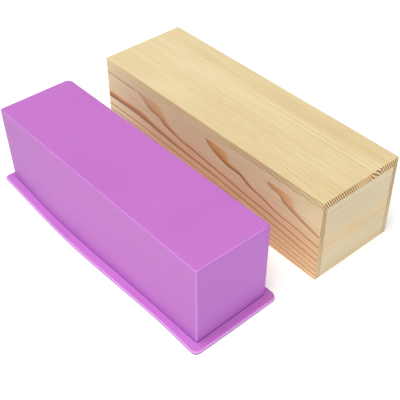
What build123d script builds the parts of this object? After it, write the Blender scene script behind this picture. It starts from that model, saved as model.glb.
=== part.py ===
from build123d import *
import os

# Soap loaf mould: a box of five pine boards and the silicone liner that drops into it.
# Both stand upside down, side by side, with their openings down on the plane z = 0.
# Millimetres. +X runs along the loaf, +Y from the liner to the box, +Z up.
# The origin lies on the standing plane, under the middle of the pair.

# ---- Wooden box: driving sizes ----
BOX_LENGTH = 280.0
BOX_WIDTH = 89.0
WALL_HEIGHT = 75.5  # from the rim to the inner face of the base board
SIDE_THICKNESS = 5.0  # the two long side boards
STOCK_THICKNESS = 7.4  # the base board and the two end boards
EASED_EDGE = 0.4  # sanded edge of every board

# ---- Headless pins that hold the boards together ----
PIN_DIAMETER = 1.2
PIN_POINT = 1.5  # length of the tapered point
PIN_TIP = 0.3  # diameter of the flat at the end of the point
PIN_SUNK = 0.8  # depth of the head below the outer face, closed over by the wood
BASE_PIN_LENGTH = 20.0
CORNER_PIN_LENGTH = 18.0
SIDE_ROW_PINS = 4  # through the base board into each side board
SIDE_ROW_INSET = 10.6  # from the end of the box to the first pin of that row
END_ROW_PINS = 2  # through the base board into each end board
END_ROW_SPACING = 30.0
CORNER_ROW_PINS = 3  # through a side board into the end of an end board
CORNER_ROW_INSET = 12.0  # from the rim to the first pin of that row
CORNER_ROW_SPACING = 25.0

# ---- Silicone liner ----
SIDE_CLEARANCE = 3.0  # between a side board and the liner's long wall
END_CLEARANCE = 0.6  # between an end board and the liner's end wall
RIM_CLEARANCE = 0.5  # under the flange when the empty liner stands on the base board
SILICONE = 3.0  # thickness of the walls, the bottom and the flange
OUTER_CORNER = 3.5  # upright corners, outside
OUTER_EDGE = 2.0  # around the bottom, outside
CAVITY_CORNER = 1.5  # upright corners, inside
CAVITY_EDGE = 1.2  # around the bottom, inside
MOUTH_EDGE = 1.0  # around the mouth of the cavity
FLANGE_CORNER = 6.5
FLANGE_EDGE = 1.3  # rounded outer edge of the flange
FLANGE_ROOT = 1.0  # hollow between the wall and the flange
NEAR = 0.01  # how closely an edge's height is matched when it is looked up

# ---- The pair as they stand ----
STANDING_GAP = 36.0  # from the box to the liner's flange
STANDING_SLIP = 5.0  # how much further towards -X the liner stands

BOX_HEIGHT = WALL_HEIGHT + STOCK_THICKNESS
LINER_LENGTH = BOX_LENGTH - 2 * (STOCK_THICKNESS + END_CLEARANCE)
LINER_WIDTH = BOX_WIDTH - 2 * (SIDE_THICKNESS + SIDE_CLEARANCE)
LINER_HEIGHT = WALL_HEIGHT + RIM_CLEARANCE + SILICONE
STANDING_PITCH = BOX_WIDTH + STANDING_GAP
BOX_CENTRE = (STANDING_SLIP / 2, STANDING_PITCH / 2)
LINER_CENTRE = (-STANDING_SLIP / 2, -STANDING_PITCH / 2)

SIDE_Y = (BOX_WIDTH - SIDE_THICKNESS) / 2  # middle of a side board, from the box's middle
END_X = (BOX_LENGTH - STOCK_THICKNESS) / 2  # middle of an end board, from the box's middle

ON_THE_GROUND = (Align.CENTER, Align.CENTER, Align.MIN)


def in_box(shape):
    """Moves a shape from the box's own middle to where the box stands."""
    return Pos(*BOX_CENTRE, 0) * shape


def board(length, width, height, x=0.0, y=0.0, z=0.0):
    """One board with eased edges: its bottom is at z, and x and y are its middle."""
    blank = Box(length, width, height, align=ON_THE_GROUND)
    return Pos(x, y, z) * fillet(blank.edges(), EASED_EDGE)


def pin(length):
    """A headless pin with its head at the origin and its point at z = -length."""
    shank = Cylinder(PIN_DIAMETER / 2, length - PIN_POINT, align=(Align.CENTER, Align.CENTER, Align.MAX))
    point = Cone(PIN_TIP / 2, PIN_DIAMETER / 2, PIN_POINT, align=(Align.CENTER, Align.CENTER, Align.MAX))
    return shank + Pos(0, 0, PIN_POINT - length) * point


def spread(count, span):
    """Evenly spaced places over a span, centred on zero."""
    return [span * (i / (count - 1) - 0.5) for i in range(count)]


def base_pins():
    """Pins driven down through the base board into the side boards and the end boards."""
    head = BOX_HEIGHT - PIN_SUNK
    side_span = BOX_LENGTH - 2 * SIDE_ROW_INSET
    end_span = END_ROW_SPACING * (END_ROW_PINS - 1)
    over_sides = [(x, y) for y in (-SIDE_Y, SIDE_Y) for x in spread(SIDE_ROW_PINS, side_span)]
    over_ends = [(x, y) for x in (-END_X, END_X) for y in spread(END_ROW_PINS, end_span)]
    return [Pos(x, y, head) * pin(BASE_PIN_LENGTH) for x, y in over_sides + over_ends]


def corner_pins():
    """Pins driven through the side boards into the ends of the end boards."""
    pins = []
    for side in (-1, 1):
        head = side * (BOX_WIDTH / 2 - PIN_SUNK)
        for x in (-END_X, END_X):
            for row in range(CORNER_ROW_PINS):
                height = CORNER_ROW_INSET + row * CORNER_ROW_SPACING
                pins.append(Pos(x, head, height) * Rot(X=-90 * side) * pin(CORNER_PIN_LENGTH))
    return pins


def boards():
    """The five boards: the base lies on the walls, and the ends stand between the sides."""
    end_width = BOX_WIDTH - 2 * SIDE_THICKNESS
    return {
        "base_board": board(BOX_LENGTH, BOX_WIDTH, STOCK_THICKNESS, z=WALL_HEIGHT),
        "side_board_front": board(BOX_LENGTH, SIDE_THICKNESS, WALL_HEIGHT, y=-SIDE_Y),
        "side_board_rear": board(BOX_LENGTH, SIDE_THICKNESS, WALL_HEIGHT, y=SIDE_Y),
        "end_board_left": board(STOCK_THICKNESS, end_width, WALL_HEIGHT, x=-END_X),
        "end_board_right": board(STOCK_THICKNESS, end_width, WALL_HEIGHT, x=END_X),
    }


def wooden_box():
    """The boards with a hole for each pin, and the two groups of pins that fill them."""
    driven = {"base_pins": base_pins(), "corner_pins": corner_pins()}
    every_pin = [one for group in driven.values() for one in group]
    nodes = {name: in_box(blank - every_pin) for name, blank in boards().items()}
    for name, group in driven.items():
        nodes[name] = Compound(children=[in_box(one) for one in group])
    return nodes


def rounded_block(length, width, height, corner):
    """A block standing on z = 0 with rounded upright corners."""
    block = Box(length, width, height, align=ON_THE_GROUND)
    return fillet(block.edges().filter_by(Axis.Z), corner)


def top_edges(shape):
    """The edges around the highest face."""
    return shape.faces().sort_by(Axis.Z)[-1].edges()


def silicone_liner():
    """One moulding: a deep tray with a flat flange around its mouth, standing on the flange."""
    tray = rounded_block(LINER_LENGTH, LINER_WIDTH, LINER_HEIGHT, OUTER_CORNER)
    tray = fillet(top_edges(tray), OUTER_EDGE)
    flange = rounded_block(BOX_LENGTH, BOX_WIDTH, SILICONE, FLANGE_CORNER)
    flange = fillet(top_edges(flange) + flange.faces().sort_by(Axis.Z)[0].edges(), FLANGE_EDGE)
    cavity_length = LINER_LENGTH - 2 * SILICONE
    cavity_width = LINER_WIDTH - 2 * SILICONE
    cavity = rounded_block(cavity_length, cavity_width, LINER_HEIGHT - SILICONE, CAVITY_CORNER)
    cavity = fillet(top_edges(cavity), CAVITY_EDGE)
    body = tray + flange
    inside_flange = BOX_WIDTH / 2 - FLANGE_CORNER
    root = body.edges().filter_by_position(Axis.Z, SILICONE - NEAR, SILICONE + NEAR)
    root = root.filter_by_position(Axis.Y, -inside_flange, inside_flange)
    body = fillet(root, FLANGE_ROOT) - cavity
    mouth = body.faces().sort_by(Axis.Z)[0].inner_wires()[0].edges()
    return Pos(*LINER_CENTRE, 0) * fillet(mouth, MOUTH_EDGE)


nodes = wooden_box()
nodes["silicone_liner"] = silicone_liner()

os.makedirs("parts", exist_ok=True)
for name, shape in nodes.items():
    export_step(shape, f"parts/{name}.step")
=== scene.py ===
import math

import bmesh
import bpy
from mathutils import Matrix, Vector


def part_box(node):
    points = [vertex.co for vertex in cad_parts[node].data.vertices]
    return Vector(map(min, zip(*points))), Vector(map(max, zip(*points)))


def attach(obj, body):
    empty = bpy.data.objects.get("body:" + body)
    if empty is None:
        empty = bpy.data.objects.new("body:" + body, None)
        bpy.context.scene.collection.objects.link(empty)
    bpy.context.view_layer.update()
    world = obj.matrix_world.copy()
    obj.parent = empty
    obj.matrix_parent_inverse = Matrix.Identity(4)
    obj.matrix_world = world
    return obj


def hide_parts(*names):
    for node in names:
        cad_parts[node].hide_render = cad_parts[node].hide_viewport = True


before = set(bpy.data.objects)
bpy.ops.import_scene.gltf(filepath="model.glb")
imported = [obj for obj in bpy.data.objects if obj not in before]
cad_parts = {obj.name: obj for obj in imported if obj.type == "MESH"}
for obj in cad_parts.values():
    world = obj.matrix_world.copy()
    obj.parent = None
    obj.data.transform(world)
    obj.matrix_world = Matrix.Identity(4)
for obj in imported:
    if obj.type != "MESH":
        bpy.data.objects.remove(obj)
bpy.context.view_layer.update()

MM = 0.001


def node_middle(node):
    """The middle of a CAD node's box."""
    low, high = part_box(node)
    return (low + high) / (2 * MM)


def node_size(node):
    """The size of a CAD node's box along x, y and z."""
    low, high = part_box(node)
    return (high - low) / MM


# ---- Shader arithmetic ----

ON_FACE = (0.5, 0.8)  # how far a normal points along an axis, from off a face to on it
ON_EDGE = (0.02, 0.25)  # how far it points away from all three, from a face to an edge


def colour(code):
    """A linear colour from the six hexadecimal digits of an sRGB one."""
    channels = [int(code[i:i + 2], 16) / 255 for i in (0, 2, 4)]
    linear = [c / 12.92 if c <= 0.04045 else ((c + 0.055) / 1.055) ** 2.4 for c in channels]
    return (*linear, 1.0)


def stops(*rows):
    """The stops of a colour ramp, from rows of (place, code)."""
    return [(spot, colour(code)) for spot, code in rows]


def connect(tree, value, entry):
    """Feeds a node's entry with a term, or sets it to a number or colour."""
    if isinstance(value, Term):
        tree.links.new(value.socket, entry)
    else:
        entry.default_value = value


class Term:
    """A number or colour that a material works out at each point. Operators add Math nodes."""

    def __init__(self, tree, socket):
        self.tree = tree
        self.socket = socket

    def math(self, operation, *others):
        node = self.tree.nodes.new("ShaderNodeMath")
        node.operation = operation
        for entry, value in zip(node.inputs, (self, *others)):
            connect(self.tree, value, entry)
        return Term(self.tree, node.outputs[0])

    def __add__(self, other):
        return self.math("ADD", other)

    def __sub__(self, other):
        return self.math("SUBTRACT", other)

    def __mul__(self, other):
        return self.math("MULTIPLY", other)

    def __truediv__(self, other):
        return self.math("DIVIDE", other)

    def __rsub__(self, other):
        return self * -1.0 + other

    __radd__ = __add__
    __rmul__ = __mul__

    def fraction(self):
        return self.math("FRACT")

    def floor(self):
        return self.math("FLOOR")

    def size(self):
        """The number without its sign."""
        return self.math("ABSOLUTE")

    def root(self):
        return self.math("SQRT")

    def at_least(self, other):
        return self.math("MAXIMUM", other)

    def rise(self, low, high):
        """0 below low, 1 above high, and a smooth step between."""
        node = self.tree.nodes.new("ShaderNodeMapRange")
        node.interpolation_type = "SMOOTHSTEP"
        node.inputs["From Min"].default_value = low
        node.inputs["From Max"].default_value = high
        connect(self.tree, self, node.inputs["Value"])
        return Term(self.tree, node.outputs["Result"])

    def bell(self, middle, half_width):
        """1 at the middle, falling smoothly to 0 at half_width on each side."""
        return 1.0 - ((self - middle) / half_width).size().rise(0.0, 1.0)

    def steps(self, *rows):
        """Smooth steps added up, each as (start, end, amount)."""
        return sum(self.rise(start, end) * amount for start, end, amount in rows)

    def bands(self, *rows):
        """Smooth bands added up, each as (middle, half width, amount)."""
        return sum(self.bell(middle, half_width) * amount for middle, half_width, amount in rows)


class Finish:
    """A procedural material being built around one Principled shader."""

    def __init__(self, name):
        self.material = bpy.data.materials.new(name)
        self.material.use_nodes = True
        self.tree = self.material.node_tree
        self.shader = self.tree.nodes["Principled BSDF"]

    def node(self, kind, **entries):
        node = self.tree.nodes.new(kind)
        for name, value in entries.items():
            connect(self.tree, value, node.inputs[name])
        return node

    def split(self, coordinates):
        node = self.node("ShaderNodeSeparateXYZ")
        source = self.node("ShaderNodeTexCoord").outputs[coordinates]
        self.tree.links.new(source, node.inputs["Vector"])
        return [Term(self.tree, part) for part in node.outputs]

    def place(self, origin):
        """Distances from a point of the frame along x, y and z."""
        return [metres / MM - start for metres, start in zip(self.split("Object"), origin)]

    def facing(self):
        """How far the surface faces along x, y and z, from 0 to 1 and to either side."""
        return [part.size() for part in self.split("Normal")]

    def faces(self):
        """1 on the faces square to x, to y and to z, and 0 away from them."""
        return [part.rise(*ON_FACE) for part in self.facing()]

    def edges(self):
        """1 in the middle of a rounded edge, and 0 on a face square to x, y or z."""
        along_x, along_y, along_z = self.facing()
        return (1.0 - along_x.at_least(along_y).at_least(along_z)).rise(*ON_EDGE)

    def noise(self, x, y, z, seed, detail=2.0):
        """Smooth noise, about -1 to 1, whose features are one unit of x, y and z across."""
        vector = self.node("ShaderNodeCombineXYZ", X=x, Y=y, Z=z)
        node = self.tree.nodes.new("ShaderNodeTexNoise")
        node.noise_dimensions = "4D"
        for name, value in (("W", seed), ("Scale", 1.0), ("Detail", detail)):
            node.inputs[name].default_value = value
        self.tree.links.new(vector.outputs[0], node.inputs["Vector"])
        return Term(self.tree, node.outputs[0]) * 4.0 - 2.0

    def streaks(self, along, across, length, width, seed, detail=2.0):
        """Noise whose features have a length along the fibres and a width across them."""
        side_a, side_b = across
        return self.noise(along / length, side_a / width, side_b / width, seed, detail)

    def ramp(self, term, *stops):
        """A colour that follows a term from 0 to 1 through stops of (place, colour)."""
        node = self.node("ShaderNodeValToRGB", Fac=term)
        elements = node.color_ramp.elements
        for spot, _ in stops[2:]:
            elements.new(spot)
        for element, (spot, shade) in zip(elements, stops):
            element.position = spot
            element.color = shade
        return Term(self.tree, node.outputs["Color"])

    def mix(self, share, under, over, how="MIX"):
        """Lays one colour over another with a share from 0 to 1."""
        node = self.tree.nodes.new("ShaderNodeMix")
        node.data_type = "RGBA"
        node.blend_type = how
        entries = {entry.identifier: entry for entry in node.inputs}
        outputs = {output.identifier: output for output in node.outputs}
        for name, value in (("Factor_Float", share), ("A_Color", under), ("B_Color", over)):
            connect(self.tree, value, entries[name])
        return Term(self.tree, outputs["Result_Color"])

    def relief(self, height, depth):
        """Raises the surface by height, which runs from 0 to 1, times depth."""
        node = self.node("ShaderNodeBump", Height=height, Distance=depth * MM)
        self.tree.links.new(node.outputs["Normal"], self.shader.inputs["Normal"])

    def set(self, **entries):
        """Sets or links the shader's own entries, whose names have _ for each space."""
        for name, value in entries.items():
            connect(self.tree, value, self.shader.inputs[name.replace("_", " ")])


# ---- Pine ----

# Features of the wood, as (length along the fibres, width across them).
FIBRE = (30.0, 0.55)
STREAK = (90.0, 3.5)
CANAL = (6.0, 0.45)
CLOUD = (60.0, 20.0)
SHADING = stops((0.0, "EDE3D6"), (1.0, "FFFFFF"))  # it multiplies the wood's colour
RING_CHANGE = 160.0  # the length along which one ring grows plainer or fainter
RING_STEP = 0.73  # keeps the noises of neighbouring rings apart
CANAL_TOPS = (0.75, 1.3)  # only the highest parts of that noise are resin canals
CANAL_COLOUR = colour("B98D60")
CANAL_SHARE = 0.3
EASED_COLOUR = colour("B58E62")  # of the rounded edges
EASED_SHARE = 0.35
PINE_ROUGHNESS = 0.58
PINE_SPECULAR = 0.35
PINE_RELIEF = 0.06  # height of the fibres and of the late wood


def pine(
    finish, rings, late, along, across, ends, wood, cut, strength, tint, faded=0.0, amber=0.0,
):
    """Bare sanded pine.

    rings counts growth rings. The late wood of each starts at late, a part of one ring, darkens
    up to the next whole number, and stops there at once. along runs with the fibres, and across
    is the two distances square to them. ends is 1 on end grain. wood holds the stops of the
    colours through the late wood on the faces, and cut those through a whole ring on the end
    grain. strength is how plainly the rings show on the faces, faded is how much of them is
    lost on the end grain, and amber is how far the late wood stays short of its darkest, each
    from 0 to 1. tint is the share and the colour of a tint laid over the faces."""
    year = rings.fraction()
    own = finish.noise(rings.floor() * RING_STEP, along / RING_CHANGE, 0.0, seed=5.0, detail=0.0)
    ripening = (year - late) / (1.0 - late) * (1.0 - amber)
    plainness = strength * (0.85 + own * 0.25)
    lines = finish.mix(plainness, wood[0][1], finish.ramp(ripening, *wood))
    tint_share, tint_colour = tint
    lines = finish.mix(tint_share, lines, tint_colour)
    fibre = finish.streaks(along, across, *FIBRE, seed=1.0, detail=3.0)
    streak = finish.streaks(along, across, *STREAK, seed=2.0)
    canal = finish.streaks(along, across, *CANAL, seed=3.0, detail=1.0)
    cloud = finish.streaks(along, across, *CLOUD, seed=4.0)
    lines = finish.mix(canal.rise(*CANAL_TOPS) * CANAL_SHARE, lines, CANAL_COLOUR)
    cells = finish.mix(faded, finish.ramp(year, *cut), cut[1][1])
    shading = finish.ramp(0.5 + fibre * 0.3 + streak * 0.25 + cloud * 0.2, *SHADING)
    body = finish.mix(1.0, finish.mix(ends, lines, cells), shading, how="MULTIPLY")
    body = finish.mix(finish.edges() * EASED_SHARE, body, EASED_COLOUR)
    roughness = PINE_ROUGHNESS + fibre * 0.05
    finish.set(Base_Color=body, Roughness=roughness, Specular_IOR_Level=PINE_SPECULAR)
    finish.relief(0.5 + ripening.rise(0.3, 0.9) * 0.3 + fibre * 0.2, depth=PINE_RELIEF)
    return finish.material


# Places along and across a board count from its middle, heights from the rim, and depths from
# the base board. A STEP is (start, end, amount), and a BAND is (middle, half width, amount).
BASE_RING = 2.35  # spacing of the rings across the base board
BASE_SLANT = 0.26  # rings for each millimetre of height
BASE_PLAIN = (9.0, 25.0)  # the stretch across the board where the rings lie flatter
BASE_PLAIN_RINGS = 4.1  # in that stretch
BASE_LEAN = 0.055  # rings for each millimetre along the front edge
LEAN_ACROSS = (-45.0, 20.0)  # across the board, where that lean dies away
LEAN_MIDDLE = -44.0  # where the rings turn from one lean to the other
LEAN_ROUND = 30.0  # and how gently
BASE_WANDER = (130.0, 30.0)  # length and width of the waves in the rings
BASE_WAVE = 0.15  # and their height in rings
BASE_LATE = 0.45  # the part of each ring at which its late wood starts
BASE_FAINTEST = 0.15  # how plainly the rings show at the left end, and what changes that
BASE_ALONG_STEP = (-110.0, 60.0, 0.55)
BASE_ACROSS_STEPS = ((20.0, 30.0, 0.2), (36.0, 42.0, -0.2))
BASE_ACROSS_BANDS = ((4.0, 16.0, -0.3), (17.0, 9.0, -0.35))
BASE_EDGE_STEP = (-30.0, 90.0, 0.45)  # on the long edges alone
BASE_FADED_BAND = (2.0, 14.0, 0.6)  # where the end grain is faded
BASE_WOOD = stops((0.0, "EAD8AD"), (0.35, "E3CC99"), (0.75, "C7A360"), (1.0, "B28A42"))
BASE_CUT = stops((0.0, "FADFAA"), (0.4, "ECC98E"), (0.66, "8E5E28"), (1.0, "64400F"))
EDGE_COLOUR = colour("FCE7B2")  # paler than the face, on the long edges
EDGE_SHARE = 0.85
EDGE_SHARE_STEP = (-20.0, 90.0, -0.6)


def base_pine():
    """Pine cut nearly across the rings: fine lines that bend towards the right front corner."""
    finish = Finish("pine_base")
    x, y, z = finish.place(node_middle("base_board"))
    plain_start, plain_end = BASE_PLAIN
    lost = (plain_end - plain_start) / BASE_RING - BASE_PLAIN_RINGS
    from_middle = x - LEAN_MIDDLE
    lean = (from_middle * from_middle + LEAN_ROUND * LEAN_ROUND).root() * BASE_LEAN
    lean_at_end = (node_size("base_board").x / 2 - LEAN_MIDDLE) * BASE_LEAN
    drift = (lean - lean_at_end) * (1.0 - y.rise(*LEAN_ACROSS))
    wander = finish.streaks(x, (y, z), *BASE_WANDER, seed=11.0) * BASE_WAVE
    rings = y / BASE_RING + z * BASE_SLANT - y.rise(plain_start, plain_end) * lost + drift + wander
    ends, long_edge, _ = finish.faces()
    strength = (
        BASE_FAINTEST + x.steps(BASE_ALONG_STEP) + y.steps(*BASE_ACROSS_STEPS)
        + y.bands(*BASE_ACROSS_BANDS) + long_edge * x.steps(BASE_EDGE_STEP)
    )
    tinted = long_edge * (EDGE_SHARE + x.steps(EDGE_SHARE_STEP))
    return pine(
        finish, rings, BASE_LATE, x, (y, z), ends, BASE_WOOD, BASE_CUT, strength,
        tint=(tinted, EDGE_COLOUR), faded=y.bands(BASE_FADED_BAND),
    )


PITH_DISTANCE = 143.0  # from the face of a side board to the middle of the trunk
SIDE_RING = 2.0  # spacing of the rings
FIRST_RING = 2.0  # the count on the face at the crown, at the left end
CROWN_HEIGHT = 69.0  # above the rim, where the arches of the grain have their tips
GRAIN_END_STEP = (67.6, 69.1, -0.95)  # the heights between which they stop
TAPER = 110.0  # along the board, for one ring
TAPER_START = -92.0  # to the left of this the rings run level
TAPER_GROWTH = 0.000015  # rings for each square millimetre along the board, added to that
LEAST_TAPER = 0.005  # in rings
# How many rings the wide ones at the left end push the rest apart, and where.
WIDE_RING = 0.46
WIDE_ALONG = (-61.0, 40.0)
WIDE_HEIGHTS = (34.0, 25.0)
# Places where the rings swell, as (x, height, half length, half height, rings).
SWELLINGS = (
    (-74.0, 57.0, 15.0, 7.0, -0.08),
    (-36.0, 51.0, 40.0, 12.0, -0.17),
    (0.0, 46.0, 50.0, 8.0, -0.08),
    (47.0, 54.0, 20.0, 9.0, 0.16),
    (92.0, 42.0, 26.0, 8.0, -0.16),
    (-13.0, 46.5, 13.0, 8.0, 0.03),
    (28.0, 42.0, 42.0, 9.0, -0.1),
    (50.0, 38.0, 36.0, 7.0, -0.11),
    (93.0, 62.0, 12.0, 7.0, 0.1),
)
SIDE_WANDER = (70.0, 20.0)  # length and width of the waves in the rings
SIDE_WAVE = 0.04  # and their height in rings
SIDE_RIPPLE = (18.0, 8.0)  # the same for smaller waves
RIPPLE_WAVE = 0.03
TIP_CALM = 0.85  # how much of both is lost at the tips
TIP_HEIGHTS = (54.0, 66.0)  # between which the arches turn into their tips
SIDE_LATE = 0.75  # the part of each ring at which its late wood starts
LATE_STEP = (20.0, 50.0, 0.04)  # it starts later, so that it is thinner, higher up
TIP_LATE = -0.07  # earlier at the tips, and more so after each of two steps along the board
TIP_LATE_STEPS = ((-90.0, -40.0, -0.07), (60.0, 90.0, -0.1))
BROAD_BAND = (2.8, 0.6, -0.36)  # much earlier around one place in the count of rings
BROAD_ALONG = (-70.0, 60.0)  # the places along the board between which that dies away
TIP_AMBER = 0.2  # how far the tips stay short of the darkest late wood
TIP_AMBER_STEP = (-105.0, -85.0, 0.3)
SIDE_FADED = 0.8  # how much of the end grain is faded near the rim
FADED_HEIGHTS = (15.0, 60.0)
# Its palest wood is paler than the base board's: painted light that makes up for the shade in the
# gap beside the liner.
SIDE_WOOD = stops(
    (0.0, "F8E6BA"), (0.12, "F0C07E"), (0.38, "E6A654"), (0.64, "B86A24"), (1.0, "703004"),
)
SIDE_CUT = stops((0.0, "D6BC90"), (0.45, "DAC198"), (0.75, "9F7745"), (1.0, "856139"))
WARM_COLOUR = colour("E49E56")  # of the lower part towards the right end
WARM_SHARE = 0.38
WARM_ALONG = (-130.0, -20.0)
WARM_HEIGHTS = (25.0, 62.0)


def side_pine(board, outward, seed):
    """Pine cut beside the middle of the trunk: long arches, broad at their tips."""
    finish = Finish("pine_" + board)
    x, y, z = finish.place(node_middle(board))
    size = node_size(board)
    height = z + size.z / 2
    inward = size.y / 2 - y * outward
    down = CROWN_HEIGHT - height
    from_pith = ((inward + PITH_DISTANCE) * (inward + PITH_DISTANCE) + down * down).root()
    from_start = (x - TAPER_START).at_least(LEAST_TAPER * TAPER)
    taper = from_start / TAPER + from_start * from_start * TAPER_GROWTH
    wander = finish.streaks(x, (y, z), *SIDE_WANDER, seed=seed) * SIDE_WAVE
    ripple = finish.streaks(x, (y, z), *SIDE_RIPPLE, seed=seed + 1.0) * RIPPLE_WAVE
    tips = height.rise(*TIP_HEIGHTS)
    rings = (from_pith - PITH_DISTANCE) / SIDE_RING - taper + FIRST_RING
    rings = rings + (wander + ripple) * (1.0 - tips * TIP_CALM)
    rings = rings - (1.0 - x.rise(*WIDE_ALONG)) * height.bell(*WIDE_HEIGHTS) * WIDE_RING
    for spot, spot_height, half_length, half_height, swelling in SWELLINGS:
        rings = rings + x.bell(spot, half_length) * height.bell(spot_height, half_height) * swelling
    late = (
        SIDE_LATE + height.steps(LATE_STEP) + tips * (TIP_LATE + x.steps(*TIP_LATE_STEPS))
        + (1.0 - x.rise(*BROAD_ALONG)) * rings.bands(BROAD_BAND)
    )
    strength = 1.0 + height.steps(GRAIN_END_STEP)
    ends, _, _ = finish.faces()
    warmth = x.rise(*WARM_ALONG) * (1.0 - height.rise(*WARM_HEIGHTS)) * WARM_SHARE
    return pine(
        finish, rings, late, x, (y, z), ends, SIDE_WOOD, SIDE_CUT, strength,
        tint=(warmth, WARM_COLOUR),
        faded=(1.0 - height.rise(*FADED_HEIGHTS)) * SIDE_FADED,
        amber=tips * (TIP_AMBER + x.steps(TIP_AMBER_STEP)),
    )


END_RING = 3.9  # spacing of the rings down an end board
END_SLANT = 0.3  # depth that they gain for each millimetre through the board
END_LEAN = 0.02  # and for each millimetre along it
END_START = 0.5  # depth of the first
END_WANDER = (60.0, 20.0)  # length and width of the waves in the rings
END_WAVE = 0.15  # and their height in rings
END_LATE = 0.55  # the part of each ring at which its late wood starts
END_STRENGTH = 0.85  # how plainly the fine lines show
FINE_DEPTHS = (4.0, 9.0)  # below the base board, where the fine lines start
FAINT_BAND = (11.3, 2.5, -0.7)  # where they are faint
FINE_END_STEP = (28.0, 33.0, -0.9)  # and where they stop
END_WOOD = stops((0.0, "E3D4B5"), (0.5, "D3C29C"), (1.0, "BCA981"))
END_CUT = stops((0.0, "CDB07C"), (1.0, "94703C"))
WARM_BANDS = ((41.0, 16.0, 0.6), (73.0, 13.0, 0.45))  # down the board
WARM_BAND_COLOUR = colour("E6C892")
WARM_BAND_WANDER = 12.0  # millimetres for each ring that the fine lines wander


def end_pine(board, seed):
    """Pine cut across the rings: fine lines near the base board and broad soft bands below."""
    finish = Finish("pine_" + board)
    x, y, z = finish.place(node_middle(board))
    depth = node_size(board).z / 2 - z
    wander = finish.streaks(y, (x, z), *END_WANDER, seed=seed) * END_WAVE
    rings = (depth + x * END_SLANT + y * END_LEAN - END_START) / END_RING + wander
    lines = (1.0 + depth.bands(FAINT_BAND)) * (1.0 + depth.steps(FINE_END_STEP))
    _, ends, _ = finish.faces()
    warmth = (depth + wander * WARM_BAND_WANDER).bands(*WARM_BANDS)
    return pine(
        finish, rings, END_LATE, y, (x, z), ends, END_WOOD, END_CUT,
        strength=depth.rise(*FINE_DEPTHS) * lines * END_STRENGTH,
        tint=(warmth, WARM_BAND_COLOUR),
    )


# ---- Steel ----

# Sizes of the scratches and of the dull patches.
SCRATCH_WIDTH = 0.1
SCRATCH_LENGTH = 3.0
DULLING_SIZE = 2.0
STEEL = stops((0.0, "A9ABAE"), (1.0, "C9CBCE"))
STEEL_ROUGHNESS = 0.3
STEEL_RELIEF = 0.01


def pin_steel():
    """Bright drawn wire: fine scratches and a little dulling."""
    finish = Finish("pin_steel")
    x, y, z = finish.place((0.0, 0.0, 0.0))
    scratch = finish.noise(
        x / SCRATCH_WIDTH, y / SCRATCH_WIDTH, z / SCRATCH_LENGTH, seed=21.0, detail=3.0
    )
    dulling = finish.noise(x / DULLING_SIZE, y / DULLING_SIZE, z / DULLING_SIZE, seed=22.0)
    steel = finish.ramp(0.5 + scratch * 0.25 + dulling * 0.25, *STEEL)
    finish.set(Base_Color=steel, Metallic=1.0, Roughness=STEEL_ROUGHNESS + dulling * 0.08)
    finish.relief(0.5 + scratch * 0.5, depth=STEEL_RELIEF)
    return finish.material


# ---- Silicone ----

SILICONE = 3.0  # thickness of the walls, the bottom and the flange
# Sizes of the features of its three noises.
CLOUD_SIZE = 60.0
MOTTLE_SIZE = 8.0
GRAIN_SIZE = 0.7
RUBBER = stops((0.0, "BB6CBE"), (1.0, "C472C5"))  # the shades that it clouds between
FOOT_HEIGHT = 22.0  # how far above the flange the walls' feet get painted shade
FOOT_SHADE_SHARE = 0.5
END_SHADE_SHARE = 0.6  # of the same painted shade, on the whole of the end walls
# Painted light and shade laid over the rubber one after the other, each as (share, colour).
SHADE = (1.0, colour("B569C6"))  # painted shade, of which the feet and the end walls have their own shares
# painted shade over the walls' left half
PAINTED_LEFT_SHADE = (0.4, colour("AC66B6"))
# painted highlight on the rounded edges
PAINTED_EDGE_HIGHLIGHT = (0.85, colour("D68FE0"))
# painted shade in the creases at the feet of the long walls and of the end walls
PAINTED_FRONT_CREASE_SHADE = (0.5, colour("A040B4"))
PAINTED_END_CREASE_SHADE = (0.95, colour("782686"))
# painted light on the flange along the front
PAINTED_FRONT_FLANGE_LIGHT = (0.8, colour("CB79CE"))
# painted highlight on the flange's rim
RIM = (0.85, colour("E4A4E8"))
# painted shade on the lower part of the rim
PAINTED_RIM_UNDER_SHADE = (0.9, colour("7C4A80"))
PAINTED_EDGE_SHADE = colour("94709A")  # painted shade on the edges that turn away to the rear and to the left
# Where that painted light and shade lies, from the middle of the liner and in heights.
FAR_LEFT_ALONG = (-130.0, 0.0)
REAR_ACROSS = (30.0, 34.0)
LEFT_END_ALONG = (-131.0, -127.0)
FRONT_CREASE_HEIGHTS = (SILICONE, 5.0)
END_CREASE_HEIGHTS = (SILICONE + 0.5, 2.0)
FLANGE_TOP = (SILICONE + 0.1, SILICONE + 0.3)
FRONT_ACROSS = (-39.0, -36.0)
RIM_TILT = (0.7, 0.95)  # how far the rim's normal points up, from its side to its top
UNDER_HEIGHTS = (0.9, 1.7)
RUBBER_ROUGHNESS = 0.48
RUBBER_IOR = 1.42
TRANSLUCENCE = 0.15
LIGHT_REACH = (1.0, 0.4, 1.0)  # how far red, green and blue light travel inside, compared
LIGHT_DEPTH = 1.5  # and how far the furthest does
RUBBER_RELIEF = 0.02


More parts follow.
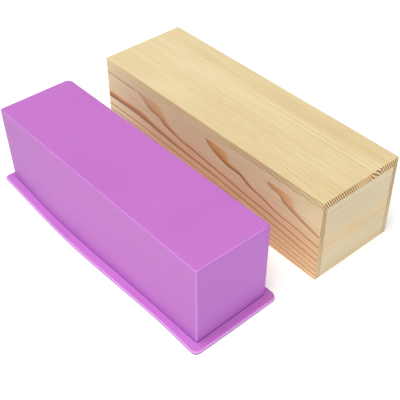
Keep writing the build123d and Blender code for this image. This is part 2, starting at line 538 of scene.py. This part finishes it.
def silicone():
    """Satin orchid-purple rubber: slightly cloudy, finely grained, and a little translucent, with
    painted shade on the walls' feet, the end walls, the left half, the far edges, the creases and
    under the rim, and painted light on the near edges, the front flange and the rim.
    """
    finish = Finish("silicone")
    x, y, z = finish.place(node_middle("silicone_liner"))
    height = z + node_size("silicone_liner").z / 2
    cloud = finish.noise(x / CLOUD_SIZE, y / CLOUD_SIZE, z / CLOUD_SIZE, seed=31.0)
    mottle = finish.noise(x / MOTTLE_SIZE, y / MOTTLE_SIZE, z / MOTTLE_SIZE, seed=32.0)
    grain = finish.noise(x / GRAIN_SIZE, y / GRAIN_SIZE, z / GRAIN_SIZE, seed=33.0, detail=3.0)
    purple = finish.ramp(0.5 + cloud * 0.35 + mottle * 0.12, *RUBBER)
    on_end, on_long_wall, on_level = finish.faces()
    _, _, upward = finish.facing()
    on_wall = 1.0 - on_level
    near_foot = on_wall * (1.0 - height.rise(SILICONE, SILICONE + FOOT_HEIGHT))
    away = y.rise(*REAR_ACROSS).at_least(1.0 - x.rise(*LEFT_END_ALONG))
    highlight_share, highlight_colour = PAINTED_EDGE_HIGHLIGHT
    on_flange = 1.0 - height.rise(*FLANGE_TOP)
    on_rim = on_flange * (1.0 - upward.rise(*RIM_TILT))
    # Painted shade and painted light, laid over the rubber one after the other.
    layers = (
        ((near_foot * FOOT_SHADE_SHARE).at_least(on_end * END_SHADE_SHARE), SHADE),
        (on_wall * (1.0 - x.rise(*FAR_LEFT_ALONG)), PAINTED_LEFT_SHADE),
        (finish.edges(), (highlight_share, finish.mix(away, highlight_colour, PAINTED_EDGE_SHADE))),
        (height.bell(*FRONT_CREASE_HEIGHTS) * on_long_wall, PAINTED_FRONT_CREASE_SHADE),
        (height.bell(*END_CREASE_HEIGHTS) * on_end, PAINTED_END_CREASE_SHADE),
        (on_flange * (1.0 - y.rise(*FRONT_ACROSS)), PAINTED_FRONT_FLANGE_LIGHT),
        (on_rim, RIM),
        (on_rim * (1.0 - height.rise(*UNDER_HEIGHTS)), PAINTED_RIM_UNDER_SHADE),
    )
    for where, (share, shade) in layers:
        purple = finish.mix(where * share, purple, shade)
    roughness = RUBBER_ROUGHNESS + mottle * 0.03 + grain * 0.02
    finish.set(
        Base_Color=purple, Roughness=roughness, IOR=RUBBER_IOR, Subsurface_Weight=TRANSLUCENCE,
        Subsurface_Radius=LIGHT_REACH, Subsurface_Scale=LIGHT_DEPTH * MM,
    )
    finish.relief(0.5 + grain * 0.3, depth=RUBBER_RELIEF)
    return finish.material


# ---- Liner ----

FLANGE_REACH = 8.0  # how far the flange stands out from the walls
# Radii of the roundings in the wall's section.
TOP_EDGE = 1.2
FLANGE_ROOT = 0.35
FLANGE_EDGE = 1.3
FLANGE_UNDER = 0.4  # the same edge, at the face that lies on the ground
MOUTH_EDGE = 1.0
CAVITY_EDGE = 1.2
# Radii of the upright corners from the front left, counter-clockwise seen from above.
WALL_CORNERS = (2.6, 2.2, 1.6, 5.5)
FLANGE_CORNERS = (3.5, 5.0, 7.0, 8.0)
SHARPEST_CORNER = 0.5  # the least radius on the inside
HOLD = 0.5  # from a rounded edge to the next loop on the flat beside it

# How finely the mesh is divided.
CORNER_STEPS = 8  # even, because a cap's own corners lie in the middle of an arc
SIDE_STEPS = (110, 30, 110, 30)
BEND_STEPS = 5
WALL_STEPS = 18
FLANGE_STEPS = 5

# How far the soft rubber has eased out at the front, at places along the loaf from its middle:
# the foot of the wall, and the edge of the flange.
FOOT_BOW = ((-134.0, -0.7), (-112.0, 0.8), (-68.0, 3.7), (-15.0, 4.2), (45.0, 2.8), (132.0, 1.7))
EDGE_BOW = (
    (-140.0, -1.1), (-95.0, 0.8), (-45.0, 3.2), (-8.0, 3.3), (45.0, 1.6), (95.0, 0.1), (140.0, 0.8),
)
BOW_FALL = 1.3  # the power of the depth below the top that a bow follows
REAR_BOW = 2.5  # how far the long rear wall's foot is drawn in, halfway along
REAR_PULL = 1.5  # how far the flange's rear edge is drawn in at its right end
RIGHT_FOOT = (-0.4, 1.9)  # how far out the right end wall's foot is, at the rear and the front
RIGHT_EDGE = (-0.3, 0.9)  # and the flange's right end
LEFT_FOOT = 1.1  # how far the left end wall's foot is drawn in
LEFT_PULL = 3.2  # and the flange's left end
REAR_SPREAD = 1.3  # how far the top's rear edge is spread out at the right end
FRONT_SPREAD = 1.0  # and its front edge at the left end
TOP_REACH = 0.8  # how far its left edge reaches out
TOP_SAG = 0.3  # how far the middle of the top has sunk
SAG_SPREAD = 1.2  # above 1, the sag is level for a stretch across its middle
FLANGE_LIFT = 0.3  # how far the flange stands off the ground, at most
# The lift comes and goes in waves, in millimetres for each radian.
WAVE_ALONG = 31.0
WAVE_ACROSS = 19.0
SWAY_ALONG = 53.0
SWAY = 1.7  # how far the waves are shifted to and fro along the loaf, in radians


def bend(offset, height, radius, start, end):
    """A round in the wall's section, between two directions in degrees: 0 is out, 90 is up."""
    turns = [math.radians(start + (end - start) * i / BEND_STEPS) for i in range(BEND_STEPS + 1)]
    return [(offset + radius * math.cos(turn), height + radius * math.sin(turn)) for turn in turns]


def straight(start, end, steps):
    """The points between two points of the section, without the two themselves."""
    return [
        tuple(a + (b - a) * i / steps for a, b in zip(start, end))
        for i in range(1, steps)
    ]


def liner_section(height):
    """The wall's section as (distance outside the wall, height), from the top to the ceiling."""
    ceiling = height - SILICONE
    top = [(-TOP_EDGE - HOLD, height)] + bend(-TOP_EDGE, height - TOP_EDGE, TOP_EDGE, 90, 0)
    top.append((0.0, height - TOP_EDGE - HOLD))
    root = bend(FLANGE_ROOT, SILICONE + FLANGE_ROOT, FLANGE_ROOT, 180, 270)
    edge = bend(FLANGE_REACH - FLANGE_EDGE, SILICONE - FLANGE_EDGE, FLANGE_EDGE, 90, 0)
    under = bend(FLANGE_REACH - FLANGE_UNDER, FLANGE_UNDER, FLANGE_UNDER, 0, -90)
    mouth = bend(MOUTH_EDGE - SILICONE, MOUTH_EDGE, MOUTH_EDGE, 270, 180)
    inner = bend(-SILICONE - CAVITY_EDGE, ceiling - CAVITY_EDGE, CAVITY_EDGE, 0, 90)
    return (
        top + straight(top[-1], root[0], WALL_STEPS)
        + root + straight(root[-1], edge[0], FLANGE_STEPS)
        + edge + under + straight(under[-1], mouth[0], FLANGE_STEPS)
        + mouth + straight(mouth[-1], inner[0], WALL_STEPS) + inner
    )


def corner_radius(corner, offset):
    """The upright corner's radius at a distance outside the wall."""
    wall = WALL_CORNERS[corner]
    if offset <= 0:
        return max(wall + offset, SHARPEST_CORNER)
    return wall + (FLANGE_CORNERS[corner] - wall) * offset / FLANGE_REACH


def side_points(start, end, steps):
    """Points between two corners, with the first and the last close beside them."""
    held = HOLD / (end - start).length
    shares = [held + (1 - 2 * held) * i / (steps - 2) for i in range(steps - 1)]
    return [start.lerp(end, share) for share in shares]


def corner_arc(middle, radius, corner):
    """The points of one upright corner's quarter turn."""
    quarters = [corner + i / CORNER_STEPS for i in range(CORNER_STEPS + 1)]
    turns = [math.radians(180 + 90 * quarter) for quarter in quarters]
    return [middle + radius * Vector((math.cos(turn), math.sin(turn))) for turn in turns]


def liner_loop(half_length, half_width, offset):
    """Points around the liner, counted from the middle of the front left corner."""
    arcs = []
    for corner, (side_x, side_y) in enumerate(((-1, -1), (1, -1), (1, 1), (-1, 1))):
        radius = corner_radius(corner, offset)
        inset = offset - radius
        middle = Vector((side_x * (half_length + inset), side_y * (half_width + inset)))
        arcs.append(corner_arc(middle, radius, corner))
    half = CORNER_STEPS // 2
    points = []
    for corner, steps in enumerate(SIDE_STEPS):
        start, end = arcs[corner], arcs[(corner + 1) % 4]
        points += start[half:]
        points += side_points(start[-1], end[0], steps)
        points += end[:half]
    return points


def add_loop(mesh, points, height):
    """New vertices at some points, all at one height."""
    return [mesh.verts.new((point.x, point.y, height)) for point in points]


def join_loops(mesh, first, second):
    """Closes the band between two loops with quads."""
    count = len(first)
    for i in range(count):
        after = (i + 1) % count
        mesh.faces.new((first[i], first[after], second[after], second[i]))


def cap_loop(mesh, loop):
    """Closes a loop with a grid, blended between its four sides by Coons's formula."""
    columns = SIDE_STEPS[0] + CORNER_STEPS
    rows = SIDE_STEPS[1] + CORNER_STEPS
    front = loop[:columns + 1]
    right = loop[columns:columns + rows + 1]
    rear = loop[columns + rows:2 * columns + rows + 1][::-1]
    left = (loop[2 * columns + rows:] + loop[:1])[::-1]

    def inside(i, j):
        u, v = i / columns, j / rows
        sides = front[i].co * (1 - v) + rear[i].co * v + left[j].co * (1 - u) + right[j].co * u
        corners = (
            front[0].co * (1 - u) * (1 - v) + front[-1].co * u * (1 - v)
            + rear[0].co * (1 - u) * v + rear[-1].co * u * v
        )
        return mesh.verts.new(sides - corners)

    grid = [front]
    for j in range(1, rows):
        grid.append([left[j], *(inside(i, j) for i in range(1, columns)), right[j]])
    grid.append(rear)
    for near, far in zip(grid, grid[1:]):
        for i in range(columns):
            mesh.faces.new((near[i], near[i + 1], far[i + 1], far[i]))


def smooth_step(value):
    """0 below 0, 1 above 1, and a smooth step between."""
    value = min(max(value, 0.0), 1.0)
    return value * value * (3 - 2 * value)


def slope(stations, i):
    """The slope of a curve at one of its stations; it is level at the first and the last."""
    if i in (0, len(stations) - 1):
        return 0.0
    (start, low), (end, high) = stations[i - 1], stations[i + 1]
    return (high - low) / (end - start)


def along_stations(stations, place):
    """A smooth curve through stations of (place, value), by Hermite's formula."""
    if place <= stations[0][0]:
        return stations[0][1]
    for i, ((start, low), (end, high)) in enumerate(zip(stations, stations[1:])):
        if place <= end:
            length = end - start
            t = (place - start) / length
            bulge = slope(stations, i) * (1 - t) - slope(stations, i + 1) * t
            return low + (high - low) * smooth_step(t) + length * t * (1 - t) * bulge
    return stations[-1][1]


def relax(point, half_length, half_width, height):
    """Where a point of the straight liner lies once the soft rubber has eased a little."""
    x, y, z = point
    reach_y = smooth_step((abs(y) - half_width) / FLANGE_REACH)
    reach_left = smooth_step((-x - half_length) / FLANGE_REACH)
    reach_right = smooth_step((x - half_length) / FLANGE_REACH)
    low = max(1 - z / height, 0.0) ** BOW_FALL
    front = smooth_step(-y / half_width)
    rear = smooth_step(y / half_width)
    left = smooth_step(-x / half_length)
    right = smooth_step(x / half_length)
    foot_bow = along_stations(FOOT_BOW, x)
    edge_bow = along_stations(EDGE_BOW, x)
    outward = foot_bow + (edge_bow - foot_bow) * reach_y
    rear_bow = REAR_BOW * max(1 - (x / half_length) ** 2, 0.0)
    rear_pull = REAR_PULL * smooth_step(2 * x / half_length - 1) * reach_y
    left_shift = LEFT_FOOT + (LEFT_PULL - LEFT_FOOT) * reach_left
    forward = min(max(0.5 - y / (2 * half_width), 0.0), 1.0)
    right_foot, right_edge = (
        back + (fore - back) * forward
        for back, fore in (RIGHT_FOOT, RIGHT_EDGE)
    )
    right_shift = right_foot + (right_edge - right_foot) * reach_right
    from_long_edge = 1 - abs(y) / half_width
    from_end = 1 - abs(x) / half_length
    inside = smooth_step(SAG_SPREAD * from_long_edge) * smooth_step(from_end)
    top = smooth_step((z - height / 2) / (height / 2))
    rear_spread = REAR_SPREAD * rear * (x / half_length + 1) / 2
    front_spread = FRONT_SPREAD * front * (1 - x / half_length) / 2
    front_shift = outward * low * front
    rear_shift = (rear_bow + rear_pull) * low * rear
    reach = max(reach_y, reach_left, reach_right)
    sway = SWAY * math.sin(x / SWAY_ALONG)
    wave = 0.5 + 0.5 * math.sin(x / WAVE_ALONG + sway + y / WAVE_ACROSS)
    return Vector((
        x + (left_shift * left + right_shift * right) * low - TOP_REACH * left * z / height,
        y - front_shift - rear_shift + (rear_spread - front_spread) * z / height,
        z - TOP_SAG * inside * top + FLANGE_LIFT * reach * wave,
    ))


def build_liner(material):
    """The liner, upside down on its flange, at the place of its CAD solid."""
    size = node_size("silicone_liner")
    middle = node_middle("silicone_liner")
    half_length = size.x / 2 - FLANGE_REACH
    half_width = size.y / 2 - FLANGE_REACH
    mesh = bmesh.new()
    loops = [
        add_loop(mesh, liner_loop(half_length, half_width, offset), z)
        for offset, z in liner_section(size.z)
    ]
    for first, second in zip(loops, loops[1:]):
        join_loops(mesh, second, first)
    cap_loop(mesh, loops[0])
    cap_loop(mesh, loops[-1])
    for vert in mesh.verts:
        eased = relax(vert.co, half_length, half_width, size.z)
        vert.co = (eased + Vector((middle.x, middle.y, 0))) * MM
    bmesh.ops.recalc_face_normals(mesh, faces=mesh.faces)
    for face in mesh.faces:
        face.smooth = True
    data = bpy.data.meshes.new("soft_liner")
    mesh.to_mesh(data)
    mesh.free()
    data.materials.append(material)
    liner = bpy.data.objects.new("soft_liner", data)
    bpy.context.scene.collection.objects.link(liner)
    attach(liner, "liner")
    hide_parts("silicone_liner")


# ---- Camera, floor and light ----

LENS = 74.74  # on a frame 36 mm wide
AIM = (39.5, -17.5, 40.0)  # the point that the camera looks at
DISTANCE = 698.9  # from there to the camera
HEADING = 49.367  # degrees from +Y towards -X
PITCH = 41.147  # degrees below level
ROLL = -0.334  # degrees

FLOOR_SIZE = 8000.0
FLOOR_COLOUR = (0.88, 0.88, 0.88, 1.0)
FLOOR_ROUGHNESS = 0.9
FLOOR_GLOW = 0.26  # light that the floor gives off, so that the shadows on it stay pale
FLOOR_DROP = 0.02  # below the mouths, so that the floor doesn't lie in their faces
SKY_LIGHT = 0.46
SKY_COLOUR = (0.93, 0.98, 1.0, 1.0)
# Each lamp's power in watts, and in millimetres and degrees its size, its distance, its height
# above level, and its turn from the front towards the right end.
LAMPS = {
    "key": (95.5, 2200.0, 3500.0, 71.0, 8.0),
    "fill": (9.8, 2000.0, 3000.0, 25.0, 90.0),
}


def add_camera():
    """A long lens that looks down across both pieces."""
    data = bpy.data.cameras.new("camera")
    data.lens = LENS
    camera = bpy.data.objects.new("camera", data)
    bpy.context.scene.collection.objects.link(camera)
    heading = Matrix.Rotation(math.radians(HEADING), 4, "Z")
    tilt = Matrix.Rotation(math.radians(90 - PITCH), 4, "X")
    roll = Matrix.Rotation(math.radians(ROLL), 4, "Z")
    back_off = Matrix.Translation((0, 0, DISTANCE * MM))
    camera.matrix_world = Matrix.Translation(Vector(AIM) * MM) @ heading @ tilt @ roll @ back_off
    bpy.context.scene.camera = camera


def add_floor():
    """A plain pale floor."""
    mesh = bmesh.new()
    half = FLOOR_SIZE / 2
    corners = [(-half, -half), (half, -half), (half, half), (-half, half)]
    mesh.faces.new([mesh.verts.new(Vector((x, y, -FLOOR_DROP)) * MM) for x, y in corners])
    data = bpy.data.meshes.new("floor")
    mesh.to_mesh(data)
    mesh.free()
    finish = Finish("floor")
    finish.set(Base_Color=FLOOR_COLOUR, Roughness=FLOOR_ROUGHNESS, Specular_IOR_Level=0.0)
    finish.set(Emission_Color=FLOOR_COLOUR, Emission_Strength=FLOOR_GLOW)
    data.materials.append(finish.material)
    floor = bpy.data.objects.new("floor", data)
    bpy.context.scene.collection.objects.link(floor)


def add_light():
    """Even light from all round, a little cool, and two large soft lamps."""
    world = bpy.data.worlds.new("studio")
    world.use_nodes = True
    world.node_tree.nodes["Background"].inputs["Color"].default_value = SKY_COLOUR
    world.node_tree.nodes["Background"].inputs["Strength"].default_value = SKY_LIGHT
    bpy.context.scene.world = world
    bpy.context.scene.view_settings.view_transform = "Standard"
    for name, (power, size, distance, height, side) in LAMPS.items():
        data = bpy.data.lights.new(name, "AREA")
        data.energy = power
        data.size = size * MM
        lamp = bpy.data.objects.new(name, data)
        turn = Matrix.Rotation(math.radians(side), 4, "Z")
        tilt = Matrix.Rotation(math.radians(90 - height), 4, "X")
        lamp.matrix_world = turn @ tilt @ Matrix.Translation((0, 0, distance * MM))
        bpy.context.scene.collection.objects.link(lamp)


# ---- The scene ----

def dress(node, material):
    """Gives a CAD node its material."""
    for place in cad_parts[node].material_slots:
        place.material = material


rubber = silicone()
steel = pin_steel()
dress("base_board", base_pine())
dress("side_board_front", side_pine("side_board_front", outward=-1.0, seed=41.0))
dress("side_board_rear", side_pine("side_board_rear", outward=1.0, seed=45.0))
dress("end_board_left", end_pine("end_board_left", seed=51.0))
dress("end_board_right", end_pine("end_board_right", seed=55.0))
dress("base_pins", steel)
dress("corner_pins", steel)
dress("silicone_liner", rubber)
build_liner(rubber)
add_camera()
add_floor()
add_light()
